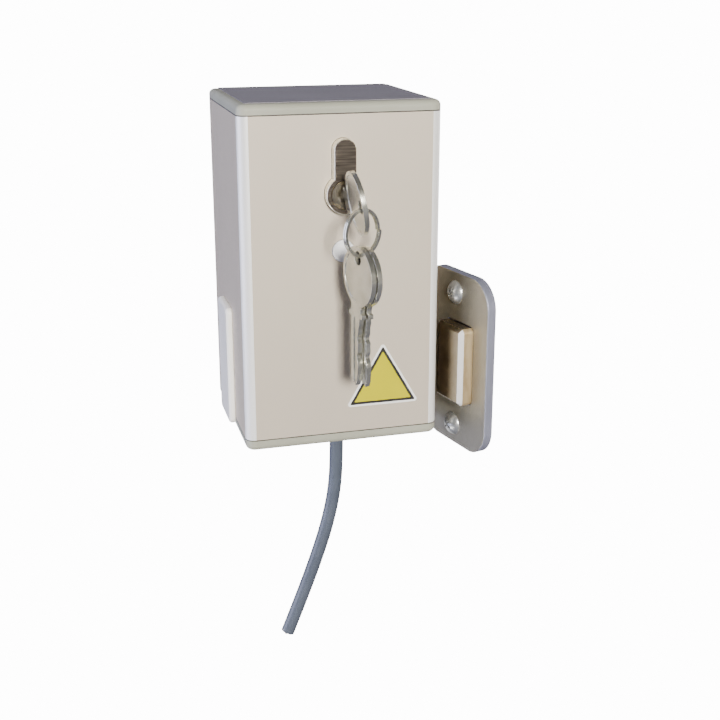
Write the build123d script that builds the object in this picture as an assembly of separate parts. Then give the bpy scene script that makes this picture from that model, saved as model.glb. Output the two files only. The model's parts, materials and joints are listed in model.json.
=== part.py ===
from build123d import *
import os
from math import cos, pi, radians, sin, sqrt, tan

# Millimetres, +Z up, front towards -Y. The origin is the middle of the bolt pattern on the back face.

# Case
case_width = 92.0
case_depth = 82.0
case_height = 158.0
corner_radius = 4.5
wall = 2.5
top_cap_height = 4.5
bottom_cap_height = 5.0
cap_edge_radius = 2.8
peg_length = 8.0
port_radius = 4.0
port_bore_radius = 1.6
port_overlap = 0.5
rear_port_inset = 9.5
rib_width = 3.0
rib_thickness = 2.0

# Base plate and its bolt pattern
base_thickness = 2.5
base_gap = 0.3
mount_spacing_x = 50.0
mount_spacing_z = 120.0
mount_hole_radius = 2.75
base_flange_depth = 14.0
base_flange_thickness = 2.0
base_flange_gap = 3.0
cover_screw_spacing = 40.0
cover_screw_inset = 9.0
cover_screw_radius = 1.9

# Countersunk cap screws
cap_screw_radius = 1.5
cap_screw_length = 16.0
cap_screw_head_radius = 3.0
cap_screw_head_height = 1.7
screw_gap = 0.15

# Half profile cylinder: round barrel with its neck upwards
barrel_radius = 8.5
neck_width = 10.0
profile_height = 33.0
plug_height = 39.3
front_proud = 5.0
barrel_length = 30.0
cam_section_length = 10.0
profile_gap = 0.15
plug_radius = 6.5
plug_gap = 0.05
cam_radius = 15.0
cam_nose_width = 8.0
cam_hub_radius = 8.2
cam_side_gap = 0.4
cylinder_screw_radius = 2.5
cylinder_screw_head_radius = 4.3
cylinder_screw_head_height = 4.0

# Keys, all cut from one blank
key_thickness = 2.2
key_rest_turn = 10.0
shoulder_standoff = 1.0
blade_length = 31.0
blade_bottom = -5.9
blade_top = 2.1
blade_tip = 2.6
key_neck_length = 5.0
key_stop_length = 2.2
key_stop_bottom = -7.9
key_stop_top = 4.4
key_stop_radius = 0.5
key_neck_top = 3.0
bow_length = 26.0
bow_height = 28.0
key_hole_radius = 3.0
key_hole_margin = 5.0
groove_height = 1.8
groove_depth = 0.5
keyway_gap = 0.15
keyway_mouth = 0.6
first_cut = 5.0
cut_pitch = 4.2
cut_flat = 0.9
cut_depths = (1.0, 2.3, 1.5, 2.6, 1.2)

# Split ring and the two keys that hang on it
ring_radius = 9.75
ring_wire_width = 1.8
ring_wire_height = 1.5
ring_yaw = 30.0
ring_slack = 1.0
spare_yaw = 10.6
spare_spread = 1.3
spare_slack = 1.25
rear_key_swing = 4.0

# Exit button and its housing
button_height = 13.4
button_radius = 5.0
button_proud = 1.0
button_gap = 0.2
button_flange_radius = 6.6
button_flange_thickness = 2.0
button_stem_radius = 2.0
button_stem_length = 9.0
housing_flange = 22.0
housing_flange_thickness = 2.0
housing_wall = 1.8
housing_depth = 13.5
housing_floor = 2.0
housing_terminal = 5.0
housing_terminal_gap = 3.0
housing_terminal_sheet = 0.8
button_dome = 0.35

# Labels
label_thickness = 0.3
label_front_margin = 5.0
label_side_margin = 4.0
sign_side = 35.2
sign_base_height = -61.5
sign_centre = 18.75
sign_corner_radius = 1.2

# Keeper openings in both side walls
pocket_depth = 23.5
pocket_height = 42.0
pocket_y = -37.0
pocket_z = -48.0
pocket_corner = 3.0

# Blanking plate over the left opening
blank_depth = 27.0
blank_height = 58.0
blank_thickness = 3.0
blank_corner = 3.0
blank_chamfer = 1.0
clip_width = 14.0
clip_length = 6.0
clip_thickness = 2.0
clip_gap = 0.3
clip_barb = 1.0

# Keeper on the other leaf, turned a little towards the front
keeper_width = 54.0
keeper_height = 85.5
keeper_thickness = 4.5
keeper_corner = 13.5
keeper_edge = 0.6
keeper_turn = 13.0
keeper_standoff = 10.3
keeper_setback = 6.6
keeper_rise = 3.5
keeper_hole_gap = 0.5
block_width = 22.0
block_height = 38.0
block_corner = 2.4
block_offset = 4.4
block_proud = 6.8
block_bevel = 2.0
block_flange = 4.5
block_flange_thickness = 3.0
notch_start = 1.4
notch_width = 3.0
notch_depth = 5.0
notch_height = 14.0
keeper_screw_spacing = 66.0
keeper_screw_head_radius = 5.75
keeper_screw_head_height = 3.5
keeper_screw_radius = 2.5
keeper_screw_length = 12.0

# Mechanism plate on its spacers
plate_thickness = 2.0
plate_front = -18.0
plate_side_gap = 3.5
plate_top = 68.0
plate_bottom = -34.0
tongue_left = 6.0
tongue_right = 24.0
tongue_bottom = -58.0
access_radius = 5.0
spacer_radius = 3.5
spacer_inset = 11.5
spacer_top_z = 51.0
spacer_bottom_z = -28.0
small_screw_radius = 1.5
small_head_radius = 2.75
small_head_height = 2.0
small_screw_depth = 3.0

# Bracket round the cylinder
bracket_sheet = 2.0
bracket_lip = 0.4
bracket_bottom = 26.0
bracket_top = 70.0
bracket_reach = 52.0
bracket_gap = 0.3
left_leg_bottom = 32.0
right_leg_bottom = 50.5
bracket_screw_margin = 4.0
bracket_boss_radius = 4.2

# Hook latch, which turns about a vertical pin behind the right-hand opening
pivot_x = 16.0
pivot_y = -28.0
pivot_radius = 2.0
pivot_gap = 0.05
latch_thickness = 8.0
latch_boss_radius = 5.4
nose_thickness = 2.4
nose_wall_gap = 0.3
nose_reach = 4.9
latch_arm_depth = 5.0
tail_end = -16.0
tail_gap = 1.0
tail_depth = 4.0
lug_gap = 0.3
lug_sheet = 2.0
lug_radius = 6.0
lug_screw_rise = 8.0
pin_head_radius = 3.2
pin_head_height = 1.5
clip_ring_thickness = 0.9

# Release bar with its wedge, and the solenoid that lifts it
release_travel = 8.0
bar_front = -36.0
bar_thickness = 2.0
bar_width = 8.0
bar_clearance = 0.7
tab_thickness = 3.0
tab_reach = 19.0
tab_gap = 0.4
jog_top = -10.0
jog_height = 10.0
bar_bottom = -60.0
wedge_slope = 0.78
wedge_drop = 1.0
solenoid_side_gap = 3.5
solenoid_width = 24.0
solenoid_bottom = 0.0
solenoid_height = 40.0
solenoid_sheet = 2.0
coil_radius = 10.0
coil_flange_radius = 11.4
coil_flange_thickness = 1.5
coil_gap = 0.2
plunger_radius = 4.0
plunger_gap = 0.3
plunger_top = 22.0
plunger_bottom = -21.0
core_height = 6.0
clevis_gap = 0.2
link_pin_radius = 1.5
link_pin_length = 11.0
link_gap = 0.1
solenoid_ear = 7.0

# Terminal block
terminal_gap = 4.0
terminal_width = 24.0
terminal_height = 14.0
terminal_bottom = -32.0
terminal_depth = 11.0
terminal_poles = 4
terminal_step = 4.0
terminal_screw_radius = 1.7
terminal_screw_sink = 0.8

# Cable
cable_radius = 3.5
cable_x = 7.6
cable_y = -37.0
grommet_flange_radius = 6.6
grommet_flange_thickness = 1.5
grommet_hole_radius = 5.0
grommet_gap = 0.1
inner_cable_radius = 3.2
inner_bend = 9.0
inner_run_z = -61.5
cable_straight = 20.0
cable_drop = 101.3
cable_drift = 28.0
cable_backward = 2.8
cable_shares = ((0.222, 0.036), (0.424, 0.2), (0.622, 0.446), (0.814, 0.718), (1.0, 1.0))

# Heights and planes that follow from the sizes above
half_width = case_width / 2
half_height = case_height / 2
inner_half_width = half_width - wall
front = -case_depth
inner_front = front + wall
cover_top = half_height - top_cap_height
cover_bottom = -half_height + bottom_cap_height
port_x = inner_half_width - port_radius + port_overlap
front_port_y = inner_front + port_radius - port_overlap
base_flange_width = 2 * (port_x - port_radius - base_flange_gap)
port_places = [(sx * port_x, y) for sx in (-1, 1) for y in (front_port_y, -rear_port_inset)]
cylinder_front = front - front_proud
cam_front = cylinder_front + barrel_length
cylinder_back = cam_front + cam_section_length
profile_top = plug_height - barrel_radius + profile_height
bridge_bottom = plug_height + cam_radius + 0.4
bridge_middle = (bridge_bottom + profile_top) / 2
cam_middle = (cam_front + cylinder_back) / 2
latch_bottom = pocket_z - latch_thickness / 2
latch_top = pocket_z + latch_thickness / 2
nose_outside = inner_half_width - nose_wall_gap
pocket_back = pocket_y + pocket_depth / 2
bar_back = bar_front + bar_thickness
head_length = key_neck_length + bow_length
hole_u = head_length - key_hole_margin
plate_back = plate_front + plate_thickness
plate_width = 2 * (inner_half_width - plate_side_gap)
spacer_x = inner_half_width - spacer_inset
terminal_left = terminal_gap - spacer_x
solenoid_x = solenoid_side_gap + solenoid_width / 2 - inner_half_width
bracket_width = 2 * (barrel_radius + bracket_gap + bracket_sheet + bracket_lip)
keeper_x = half_width + keeper_standoff
keeper_y = front + keeper_setback
keeper_z = pocket_z + keeper_rise


def slab(x, y, z):
    """A box from three (low, high) pairs."""
    middle = Pos((x[0] + x[1]) / 2, (y[0] + y[1]) / 2, (z[0] + z[1]) / 2)
    return middle * Box(x[1] - x[0], y[1] - y[0], z[1] - z[0])


def upright(x, y, low, high, radius):
    """A cylinder along Z."""
    return Pos(x, y, (low + high) / 2) * Cylinder(radius, high - low)


def forward(x, z, low, high, radius):
    """A cylinder along Y."""
    return Pos(x, (low + high) / 2, z) * Rot(90, 0, 0) * Cylinder(radius, high - low)


def sideways(y, z, low, high, radius):
    """A cylinder along X."""
    return Pos((low + high) / 2, y, z) * Rot(0, 90, 0) * Cylinder(radius, high - low)


def panel(outline, low, high):
    """Extrude a face drawn in X and Z between two Y planes."""
    sheet = Plane(origin=(0, high, 0), x_dir=(1, 0, 0), z_dir=(0, -1, 0))
    return extrude(sheet * outline, high - low)


def euro_profile(gap):
    """The cylinder's front outline, round below and with its neck above, as a face in X and Z."""
    neck_bottom = plug_height
    neck_top = profile_top + gap
    width = neck_width + 2 * gap
    neck = Pos(0, (neck_bottom + neck_top) / 2) * Rectangle(width, neck_top - neck_bottom)
    neck = fillet(neck.vertices().sort_by(Axis.Y)[2:], width / 2 * 0.98)
    return Pos(0, plug_height) * Circle(barrel_radius + gap) + neck


def case_cover():
    """The extruded U: front and sides, with screw ports, ribs and cut-outs."""
    outer = Pos(0, front / 2) * Rectangle(case_width, case_depth)
    outer = fillet(outer.vertices().sort_by(Axis.Y)[:2], corner_radius)
    inner = Pos(0, inner_front / 2) * Rectangle(2 * inner_half_width, -inner_front)
    inner = fillet(inner.vertices().sort_by(Axis.Y)[:2], corner_radius - wall)
    section = outer - inner
    rib_y = -base_thickness - base_gap - rib_thickness / 2
    for side in (-1, 1):
        rib_x = side * (inner_half_width - rib_width / 2)
        section += Pos(rib_x, rib_y) * Rectangle(rib_width, rib_thickness)
    for x, y in port_places:
        section += Pos(x, y) * Circle(port_radius)
    for x, y in port_places:
        section -= Pos(x, y) * Circle(port_bore_radius)
    cover = Pos(0, 0, cover_bottom) * extrude(section, cover_top - cover_bottom)
    cover -= panel(euro_profile(profile_gap), front - 1, inner_front + 1)
    cover -= forward(0, button_height, front - 1, inner_front + 1, button_radius + button_gap)
    window = Box(case_width + 2, pocket_depth, pocket_height)
    window = fillet(window.edges().filter_by(Axis.X), pocket_corner)
    return cover - Pos(0, pocket_y, pocket_z) * window


def cap_outline(height):
    """A cap's block, with the rounded corners of the case."""
    outline = Pos(0, front / 2) * Rectangle(case_width, case_depth)
    outline = fillet(outline.vertices().sort_by(Axis.Y)[:2], corner_radius)
    return extrude(outline, height)


def top_cap():
    """The top cap, with four pegs that press into the screw ports."""
    cap = cap_outline(top_cap_height)
    rim = cap.faces().sort_by(Axis.Z)[-1].edges()
    cap = Pos(0, 0, cover_top) * fillet(rim, cap_edge_radius)
    for x, y in port_places:
        cap += upright(x, y, cover_top - peg_length, cover_top, port_bore_radius - screw_gap)
    return cap


def countersink(x, y, radius, head_radius, head_height):
    """A screw's head and shank cut, opening downwards on the case's underside."""
    under = -half_height
    cone = Pos(x, y, under + head_height / 2) * Cone(head_radius, radius, head_height)
    return cone + upright(x, y, under, cover_bottom + 1, radius)


def bottom_cap():
    """The bottom cap, with its screw holes and the cable's hole."""
    cap = cap_outline(bottom_cap_height)
    rim = cap.faces().sort_by(Axis.Z)[0].edges()
    cap = Pos(0, 0, -half_height) * fillet(rim, cap_edge_radius)
    hole = cap_screw_radius + screw_gap
    head = cap_screw_head_radius + screw_gap
    for x, y in port_places:
        cap -= countersink(x, y, hole, head, cap_screw_head_height)
    for side in (-1, 1):
        x = side * cover_screw_spacing / 2
        bore = cover_screw_radius + screw_gap
        cap -= countersink(x, -cover_screw_inset, bore, head, cap_screw_head_height)
    return cap - upright(cable_x, cable_y, -half_height - 1, cover_bottom + 1, grommet_hole_radius)


def countersunk_screw(x, y, radius, length):
    """A countersunk screw, seated from below."""
    under = -half_height
    cone = Cone(cap_screw_head_radius, radius, cap_screw_head_height)
    screw = Pos(x, y, under + cap_screw_head_height / 2) * cone
    return screw + upright(x, y, under, under + length, radius)


def bottom_cap_screws():
    """Four screws through the bottom cap into the cover's ports."""
    return Compound([countersunk_screw(x, y, cap_screw_radius, cap_screw_length) for x, y in port_places])


def cover_screws():
    """Two screws that hold the cover to the base plate's lower flange."""
    length = bottom_cap_height + base_flange_thickness + 3
    places = [side * cover_screw_spacing / 2 for side in (-1, 1)]
    return Compound([countersunk_screw(x, -cover_screw_inset, cover_screw_radius, length) for x in places])


def base_plate():
    """The steel back plate, with the bolt pattern and the lower flange."""
    width = 2 * (inner_half_width - base_gap)
    bottom = cover_bottom + base_gap
    plate = slab((-width / 2, width / 2), (-base_thickness, 0), (bottom, cover_top - base_gap))
    plate = fillet(plate.edges().filter_by(Axis.Y), 1.5)
    flange_x = (-base_flange_width / 2, base_flange_width / 2)
    plate += slab(flange_x, (-base_flange_depth, 0), (bottom, bottom + base_flange_thickness))
    for side in (-1, 1):
        x = side * cover_screw_spacing / 2
        plate -= upright(x, -cover_screw_inset, bottom - 1, bottom + 4, cover_screw_radius + screw_gap)
        for z in (-mount_spacing_z / 2, mount_spacing_z / 2):
            plate -= forward(side * mount_spacing_x / 2, z, -base_thickness - 1, 1, mount_hole_radius)
    return plate


def spacer_places():
    """The X and Z places of the four spacers."""
    return [(side * spacer_x, z) for side in (-1, 1) for z in (spacer_top_z, spacer_bottom_z)]


def spacers():
    """Four round spacers between the base plate and the mechanism plate."""
    posts = []
    bore_end = plate_back + small_screw_depth + 1
    for x, z in spacer_places():
        post = forward(x, z, plate_back, -base_thickness, spacer_radius)
        posts.append(post - forward(x, z, plate_back, bore_end, small_screw_radius + screw_gap))
    return Compound(posts)


def small_screw(x, z, seat, depth):
    """A pan-head screw along Y, with its head in front of the seat."""
    head = forward(x, z, seat - small_head_height, seat, small_head_radius)
    head = fillet(head.faces().sort_by(Axis.Y)[0].edges(), small_head_height * 0.45)
    return head + forward(x, z, seat, seat + depth, small_screw_radius)


def plate_screws():
    """The four screws into the spacers."""
    depth = plate_thickness + small_screw_depth
    return Compound([small_screw(x, z, plate_front, depth) for x, z in spacer_places()])


def bracket_screw_places():
    """Places of the screws that hold the brackets and the solenoid to the mechanism plate."""
    cylinder = [(0, bracket_bottom + bracket_screw_margin), (0, bracket_top - bracket_screw_margin)]
    latch = [(pivot_x, latch_top + lug_gap + lug_sheet + lug_screw_rise / 2)]
    low = solenoid_bottom - solenoid_ear / 2
    high = solenoid_bottom + solenoid_height + solenoid_ear / 2
    return cylinder + latch + [(solenoid_x, low), (solenoid_x, high)]


def bracket_screws():
    """Screws through the brackets' webs into the mechanism plate."""
    depth = bracket_sheet + plate_thickness + 1
    seat = plate_front - bracket_sheet
    return Compound([small_screw(x, z, seat, depth) for x, z in bracket_screw_places()])


def drilled(sheet, places):
    """Holes for small screws, through a sheet that faces the front."""
    for x, z in places:
        sheet -= forward(x, z, plate_front - 30, plate_back + 5, small_screw_radius + screw_gap)
    return sheet


def mechanism_plate():
    """The sheet that carries the mechanism, with a tongue behind the latch and access holes."""
    main = Pos(0, (plate_top + plate_bottom) / 2) * Rectangle(plate_width, plate_top - plate_bottom)
    main = fillet(main.vertices(), 3)
    tongue_x = (tongue_left + tongue_right) / 2
    tongue_z = (plate_bottom + tongue_bottom) / 2 + 2
    tongue = Rectangle(tongue_right - tongue_left, plate_bottom - tongue_bottom + 4)
    sheet = panel(main + Pos(tongue_x, tongue_z) * tongue, plate_front, plate_back)
    for side in (-1, 1):
        x = side * mount_spacing_x / 2
        sheet -= forward(x, mount_spacing_z / 2, plate_front - 1, plate_back + 1, access_radius)
    return drilled(sheet, spacer_places() + bracket_screw_places())


def cylinder_body():
    """The half profile cylinder, cut away round the cam below its bridge."""
    body = panel(euro_profile(0), cylinder_front, cylinder_back)
    rim = body.faces().sort_by(Axis.Y)[0].edges()
    body = chamfer(rim, 0.3)
    cut_x = (-barrel_radius - 1, barrel_radius + 1)
    body -= slab(cut_x, (cam_front, cylinder_back + 1), (plug_height - barrel_radius - 1, bridge_bottom))
    body -= forward(0, plug_height, cylinder_front - 1, cam_front + 1, plug_radius + plug_gap)
    return body - sideways(cam_middle, bridge_middle, -10, 10, cylinder_screw_radius + screw_gap)


def turned(shape):
    """Turn a shape with the photographed turn of the key, about the plug's axis."""
    return Pos(0, 0, plug_height) * Rot(0, -key_rest_turn, 0) * shape


def cylinder_plug():
    """The plug, with its keyway, turned with the key."""
    plug = forward(0, 0, cylinder_front, cylinder_back, plug_radius)
    plug = chamfer(plug.faces().sort_by(Axis.Y)[0].edges(), 0.3)
    half = key_thickness / 2 + keyway_gap
    depth = cylinder_front + blade_length + shoulder_standoff
    height = (blade_bottom - keyway_gap, blade_top + keyway_gap)
    keyway = slab((-half, half), (cylinder_front - 1, depth), height)
    mouth = slab((-half, half), (cylinder_front - 1, cylinder_front + keyway_mouth), height)
    mouth = offset(mouth, keyway_mouth, kind=Kind.INTERSECTION)
    mouth -= slab((-10, 10), (cylinder_front + keyway_mouth, depth), (-10, 10))
    return turned(plug - keyway - mouth)


def cylinder_cam():
    """The cam on the plug's inner end, with its nose away from the neck."""
    nose_low = -cam_radius
    nose = Pos(0, nose_low / 2) * Rectangle(cam_nose_width, cam_radius)
    nose = fillet(nose.vertices().sort_by(Axis.Y)[:2], 1.5)
    outline = Circle(cam_hub_radius) + nose - Circle(plug_radius)
    return turned(panel(outline, cam_front + cam_side_gap, cylinder_back - cam_side_gap))


def key_outline():
    """A key's face: U runs from the shoulder to the bow, and V is the side with the cuts."""
    bow_u = key_neck_length + bow_length / 2
    bow = Pos(bow_u, 0) * Ellipse(bow_length / 2, bow_height / 2)
    neck_v = (key_neck_top + blade_bottom) / 2
    neck = Rectangle(key_neck_length + bow_length / 4, key_neck_top - blade_bottom)
    neck = Pos(key_neck_length / 2 + bow_length / 8, neck_v) * neck
    stop_v = (key_stop_top + key_stop_bottom) / 2
    stop = Rectangle(key_stop_length, key_stop_top - key_stop_bottom)
    stop = Pos(key_stop_length / 2, stop_v) * fillet(stop.vertices(), key_stop_radius)
    points = [(0.1, blade_bottom), (blade_tip - blade_length, blade_bottom), (-blade_length, -2.6)]
    points += [(-blade_length, -1.6), (blade_tip - blade_length, blade_top - 2.2)]
    for number, depth in reversed(list(enumerate(cut_depths))):
        u = -first_cut - number * cut_pitch
        low = blade_top - depth
        points += [(u - cut_flat / 2, low), (u + cut_flat / 2, low)]
        if number > 0:
            ridge = max(depth, cut_depths[number - 1]) - 1.1
            points.append((u + cut_pitch / 2, blade_top - max(0.4, ridge)))
    points += [(-first_cut + 2.6, blade_top), (0.1, blade_top)]
    blade = make_face(Polyline(points, close=True))
    corners = (bow + neck).vertices().filter_by(lambda v: 1 < v.X < bow_u)
    head = fillet(corners, 2.5) if corners else bow + neck
    return head + stop + blade - Pos(hole_u, 0) * Circle(key_hole_radius)


def key():
    """One key, flat in its own U and V, with a milled groove along each side of the blade."""
    half = key_thickness / 2
    blank = Pos(0, 0, -half) * extrude(key_outline(), key_thickness)
    groove_v = (blade_bottom + blade_top) / 2 - 0.9
    for side in (-1, 1):
        groove = Box(blade_length + 1, groove_height, 2 * groove_depth)
        blank -= Pos(-blade_length / 2 - 0.6, groove_v, side * half) * groove
    return blank


def key_in_lock():
    """The key in the plug: U points to the front and V points up."""
    stand = Plane(origin=(0, cylinder_front - shoulder_standoff, 0), x_dir=(0, -1, 0), z_dir=(-1, 0, 0))
    return turned(stand * key())


def ring_top():
    """The middle of the ring's wire where it hangs in the key's hole."""
    y = cylinder_front - shoulder_standoff - hole_u
    drop = key_hole_radius - ring_wire_height / 2 - ring_slack
    return Vector(0, y, plug_height - drop)


def key_ring():
    """The split ring: two turns of flat wire side by side."""
    wire = Rectangle(ring_wire_width, ring_wire_height)
    wire = fillet(wire.vertices(), 0.35)
    for side in (-1, 1):
        wire -= Pos(0, side * ring_wire_height / 2) * Rectangle(0.16, 0.3)
    ring = revolve(Plane.XZ * Pos(ring_radius, 0) * Rot(0, 0, 90) * wire, Axis.Z)
    middle = ring_top() - Vector(0, 0, ring_radius)
    return Pos(middle) * Rot(0, 0, ring_yaw) * Rot(90, 0, 0) * ring


def spare_key(side):
    """A key that hangs on the ring, its cuts towards the front, beside the other one."""
    across = Vector(cos(radians(spare_yaw)), sin(radians(spare_yaw)), 0)
    cuts = Vector(sin(radians(spare_yaw)), -cos(radians(spare_yaw)), 0)
    offset = side * spare_spread
    rise = offset * offset / (2 * ring_radius)
    wire = ring_top() - Vector(0, 0, 2 * ring_radius - rise)
    drop = key_hole_radius - ring_wire_height / 2 - spare_slack
    hole = wire + across * offset - Vector(0, 0, drop)
    hang = Plane(origin=hole, x_dir=(0, 0, 1), z_dir=Vector(0, 0, 1).cross(cuts))
    swing = rear_key_swing if side > 0 else 0
    return hang * Rot(0, 0, -swing) * Pos(-hole_u, 0, 0) * key()


def cylinder_bracket():
    """A folded bracket whose legs hold the cylinder, with a boss for its fixing screw."""
    web_z = (bracket_bottom + bracket_top) / 2
    web = Pos(0, web_z) * Rectangle(bracket_width, bracket_top - bracket_bottom)
    back = plate_front - bracket_sheet
    bracket = panel(fillet(web.vertices(), 2), back, plate_front)
    inside = barrel_radius + bracket_gap
    leg_front = plate_front - bracket_reach
    for side, low in ((-1, left_leg_bottom), (1, right_leg_bottom)):
        x = sorted((side * inside, side * (inside + bracket_sheet)))
        leg = slab(x, (leg_front, plate_front), (low, bracket_top - 4))
        bracket += fillet(leg.edges().filter_by(Axis.X).group_by(Axis.Y)[0], 3)
    boss_end = -neck_width / 2 - bracket_gap
    bracket += sideways(cam_middle, bridge_middle, -inside - 0.1, boss_end, bracket_boss_radius)
    hole = sideways(cam_middle, bridge_middle, -inside - 10, 0, cylinder_screw_radius + screw_gap)
    return drilled(bracket - hole, bracket_screw_places()[:2])


def cylinder_screw():
    """The fixing screw through the bracket and the cylinder's bridge."""
    seat = -barrel_radius - bracket_gap - bracket_sheet
    top = seat - cylinder_screw_head_height
    head = sideways(cam_middle, bridge_middle, top, seat, cylinder_screw_head_radius)
    head = fillet(head.faces().sort_by(Axis.X)[0].edges(), 1)
    return head + sideways(cam_middle, bridge_middle, seat, neck_width / 2, cylinder_screw_radius)


def exit_button():
    """The round button: face, retaining flange and stem."""
    face = forward(0, button_height, front - button_proud, inner_front + base_gap, button_radius)
    face = fillet(face.faces().sort_by(Axis.Y)[0].edges(), button_dome)
    seat = inner_front + base_gap
    flange = forward(0, button_height, seat, seat + button_flange_thickness, button_flange_radius)
    stem_start = seat + button_flange_thickness
    stem_end = stem_start + button_stem_length
    return face + flange + forward(0, button_height, stem_start, stem_end, button_stem_radius)


def button_housing():
    """The housing behind the button, with its flange on the cover's inside and two terminals."""
    bore = button_flange_radius + base_gap
    flange = Pos(0, button_height) * Rectangle(housing_flange, housing_flange)
    flange = panel(fillet(flange.vertices(), 3), inner_front, inner_front + housing_flange_thickness)
    end = inner_front + housing_depth + housing_floor
    tube = forward(0, button_height, inner_front, end, bore + housing_wall)
    housing = flange + tube - forward(0, button_height, inner_front - 1, end - housing_floor, bore)
    for side in (-1, 1):
        x = side * housing_terminal_gap
        tag_x = (x - housing_terminal_sheet / 2, x + housing_terminal_sheet / 2)
        tag_z = (button_height - housing_terminal / 2, button_height + housing_terminal / 2)
        housing += slab(tag_x, (end, end + housing_terminal), tag_z)
    return housing


def top_label():
    """A bare film label on the top."""
    x = (-half_width + label_side_margin, half_width - label_side_margin)
    y = (front + label_front_margin, -label_side_margin / 2)
    film = slab(x, y, (half_height, half_height + label_thickness))
    return fillet(film.edges().filter_by(Axis.Z), 1)


def warning_sign():
    """The triangular sticker on the front."""
    half = sign_side / 2
    low = sign_base_height
    points = [(sign_centre - half, low), (sign_centre + half, low), (sign_centre, low + half * sqrt(3))]
    face = make_face(Polyline(points, close=True))
    return panel(fillet(face.vertices(), sign_corner_radius), front - label_thickness, front)


def blanking_plate():
    """The plate over the left opening, with two snap clips behind the wall."""
    outside = -half_width - blank_thickness
    plate = Box(blank_thickness, blank_depth, blank_height)
    plate = fillet(plate.edges().filter_by(Axis.X), blank_corner)
    plate = chamfer(plate.faces().sort_by(Axis.X)[0].edges(), blank_chamfer)
    plate = Pos(outside + blank_thickness / 2, pocket_y, pocket_z) * plate
    end = -half_width + clip_length
    barb_start = -inner_half_width + clip_gap
    for side in (-1, 1):
        edge = pocket_z + side * (pocket_height / 2 - clip_gap)
        inside = edge - side * clip_thickness
        tip = edge + side * clip_barb
        outline = [(-half_width, inside), (end, inside), (end, edge), (barb_start, tip)]
        outline += [(barb_start, edge), (-half_width, edge)]
        clip = make_face(Polyline(outline, close=True))
        plate += panel(clip, pocket_y - clip_width / 2, pocket_y + clip_width / 2)
    return plate


def on_keeper(shape):
    """Place a shape drawn on the keeper's face: X towards the front, Y up, Z out of the face."""
    turn = radians(keeper_turn)
    face = Plane(origin=(keeper_x, keeper_y, keeper_z), x_dir=(sin(turn), -cos(turn), 0),
                 z_dir=(-cos(turn), -sin(turn), 0))
    return face * shape


def keeper_plate():
    """The keeper's face plate, with its opening and screw holes."""
    face = RectangleRounded(keeper_width, keeper_height, keeper_corner)
    hole_size = (block_width + 2 * keeper_hole_gap, block_height + 2 * keeper_hole_gap)
    face -= Pos(block_offset, 0) * RectangleRounded(*hole_size, block_corner + keeper_hole_gap)
    for side in (-1, 1):
        face -= Pos(0, side * keeper_screw_spacing / 2) * Circle(keeper_screw_radius + screw_gap)
    plate = Pos(0, 0, -keeper_thickness) * extrude(face, keeper_thickness)
    rim = plate.faces().sort_by(Axis.Z)[-1].outer_wire().edges()
    return on_keeper(fillet(rim, keeper_edge))


def keeper_block():
    """The bevelled block, its catch notch on its rear side, and the flange behind the plate."""
    length = block_proud + keeper_thickness
    block = Box(block_width, block_height, length)
    block = fillet(block.edges().filter_by(Axis.Z), block_corner)
    block = Pos(0, 0, block_proud - length / 2) * block
    block = chamfer(block.faces().sort_by(Axis.Z)[-1].edges(), block_bevel)
    notch_z = block_proud - notch_start - notch_width / 2
    notch = Box(notch_depth, notch_height, notch_width)
    block -= Pos(-block_width / 2 + notch_depth / 2, pocket_z - keeper_z, notch_z) * notch
    flange_size = (block_width + 2 * block_flange, block_height + 2 * block_flange)
    flange = Box(*flange_size, block_flange_thickness)
    block += Pos(0, 0, -keeper_thickness - block_flange_thickness / 2) * flange
    return on_keeper(Pos(block_offset, 0, 0) * block)


def keeper_screws():
    """Two dome-head screws in the keeper plate."""
    rise = keeper_screw_head_height
    radius = (keeper_screw_head_radius ** 2 + rise ** 2) / (2 * rise)
    screws = []
    for side in (-1, 1):
        dome = Pos(0, 0, rise - radius) * Sphere(radius)
        dome &= Pos(0, 0, rise / 2) * Cylinder(keeper_screw_head_radius + 1, rise)
        shank = Pos(0, 0, -keeper_screw_length / 2) * Cylinder(keeper_screw_radius, keeper_screw_length)
        screws.append(on_keeper(Pos(0, side * keeper_screw_spacing / 2, 0) * (dome + shank)))
    return Compound(screws)


def hook_latch():
    """The hook: boss on the pin, arm round the opening with its nose, and a tail for the wedge."""
    nose_inside = nose_outside - nose_thickness
    nose_tip = pocket_back - nose_reach
    cavity_back = pocket_back - 0.25
    arm_back = cavity_back + latch_arm_depth
    arm = [(pivot_x - 2, pivot_y - latch_boss_radius), (nose_inside - 11, pivot_y - 3)]
    arm += [(nose_inside - 5, cavity_back), (nose_inside, cavity_back), (nose_inside, nose_tip)]
    arm += [(nose_outside - 1.4, nose_tip), (nose_outside, nose_tip + 1.6), (nose_outside, arm_back)]
    arm += [(nose_outside - 9, arm_back), (pivot_x + 4, pivot_y + latch_boss_radius - 0.6)]
    arm += [(pivot_x - 2, pivot_y + latch_boss_radius - 0.6)]
    tail_back = bar_front - tail_gap
    tail_front = tail_back - tail_depth
    tail = [(tail_end, tail_back), (tail_end, tail_front), (pivot_x - 6, tail_front)]
    tail += [(pivot_x + 4, pivot_y - 3), (pivot_x - 4, pivot_y + 3), (pivot_x - 10, tail_back)]
    face = make_face(Polyline(arm, close=True)) + make_face(Polyline(tail, close=True))
    face += Pos(pivot_x, pivot_y) * Circle(latch_boss_radius)
    face -= Pos(pivot_x, pivot_y) * Circle(pivot_radius + pivot_gap)
    return Pos(0, 0, latch_bottom) * extrude(face, latch_thickness)


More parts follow.
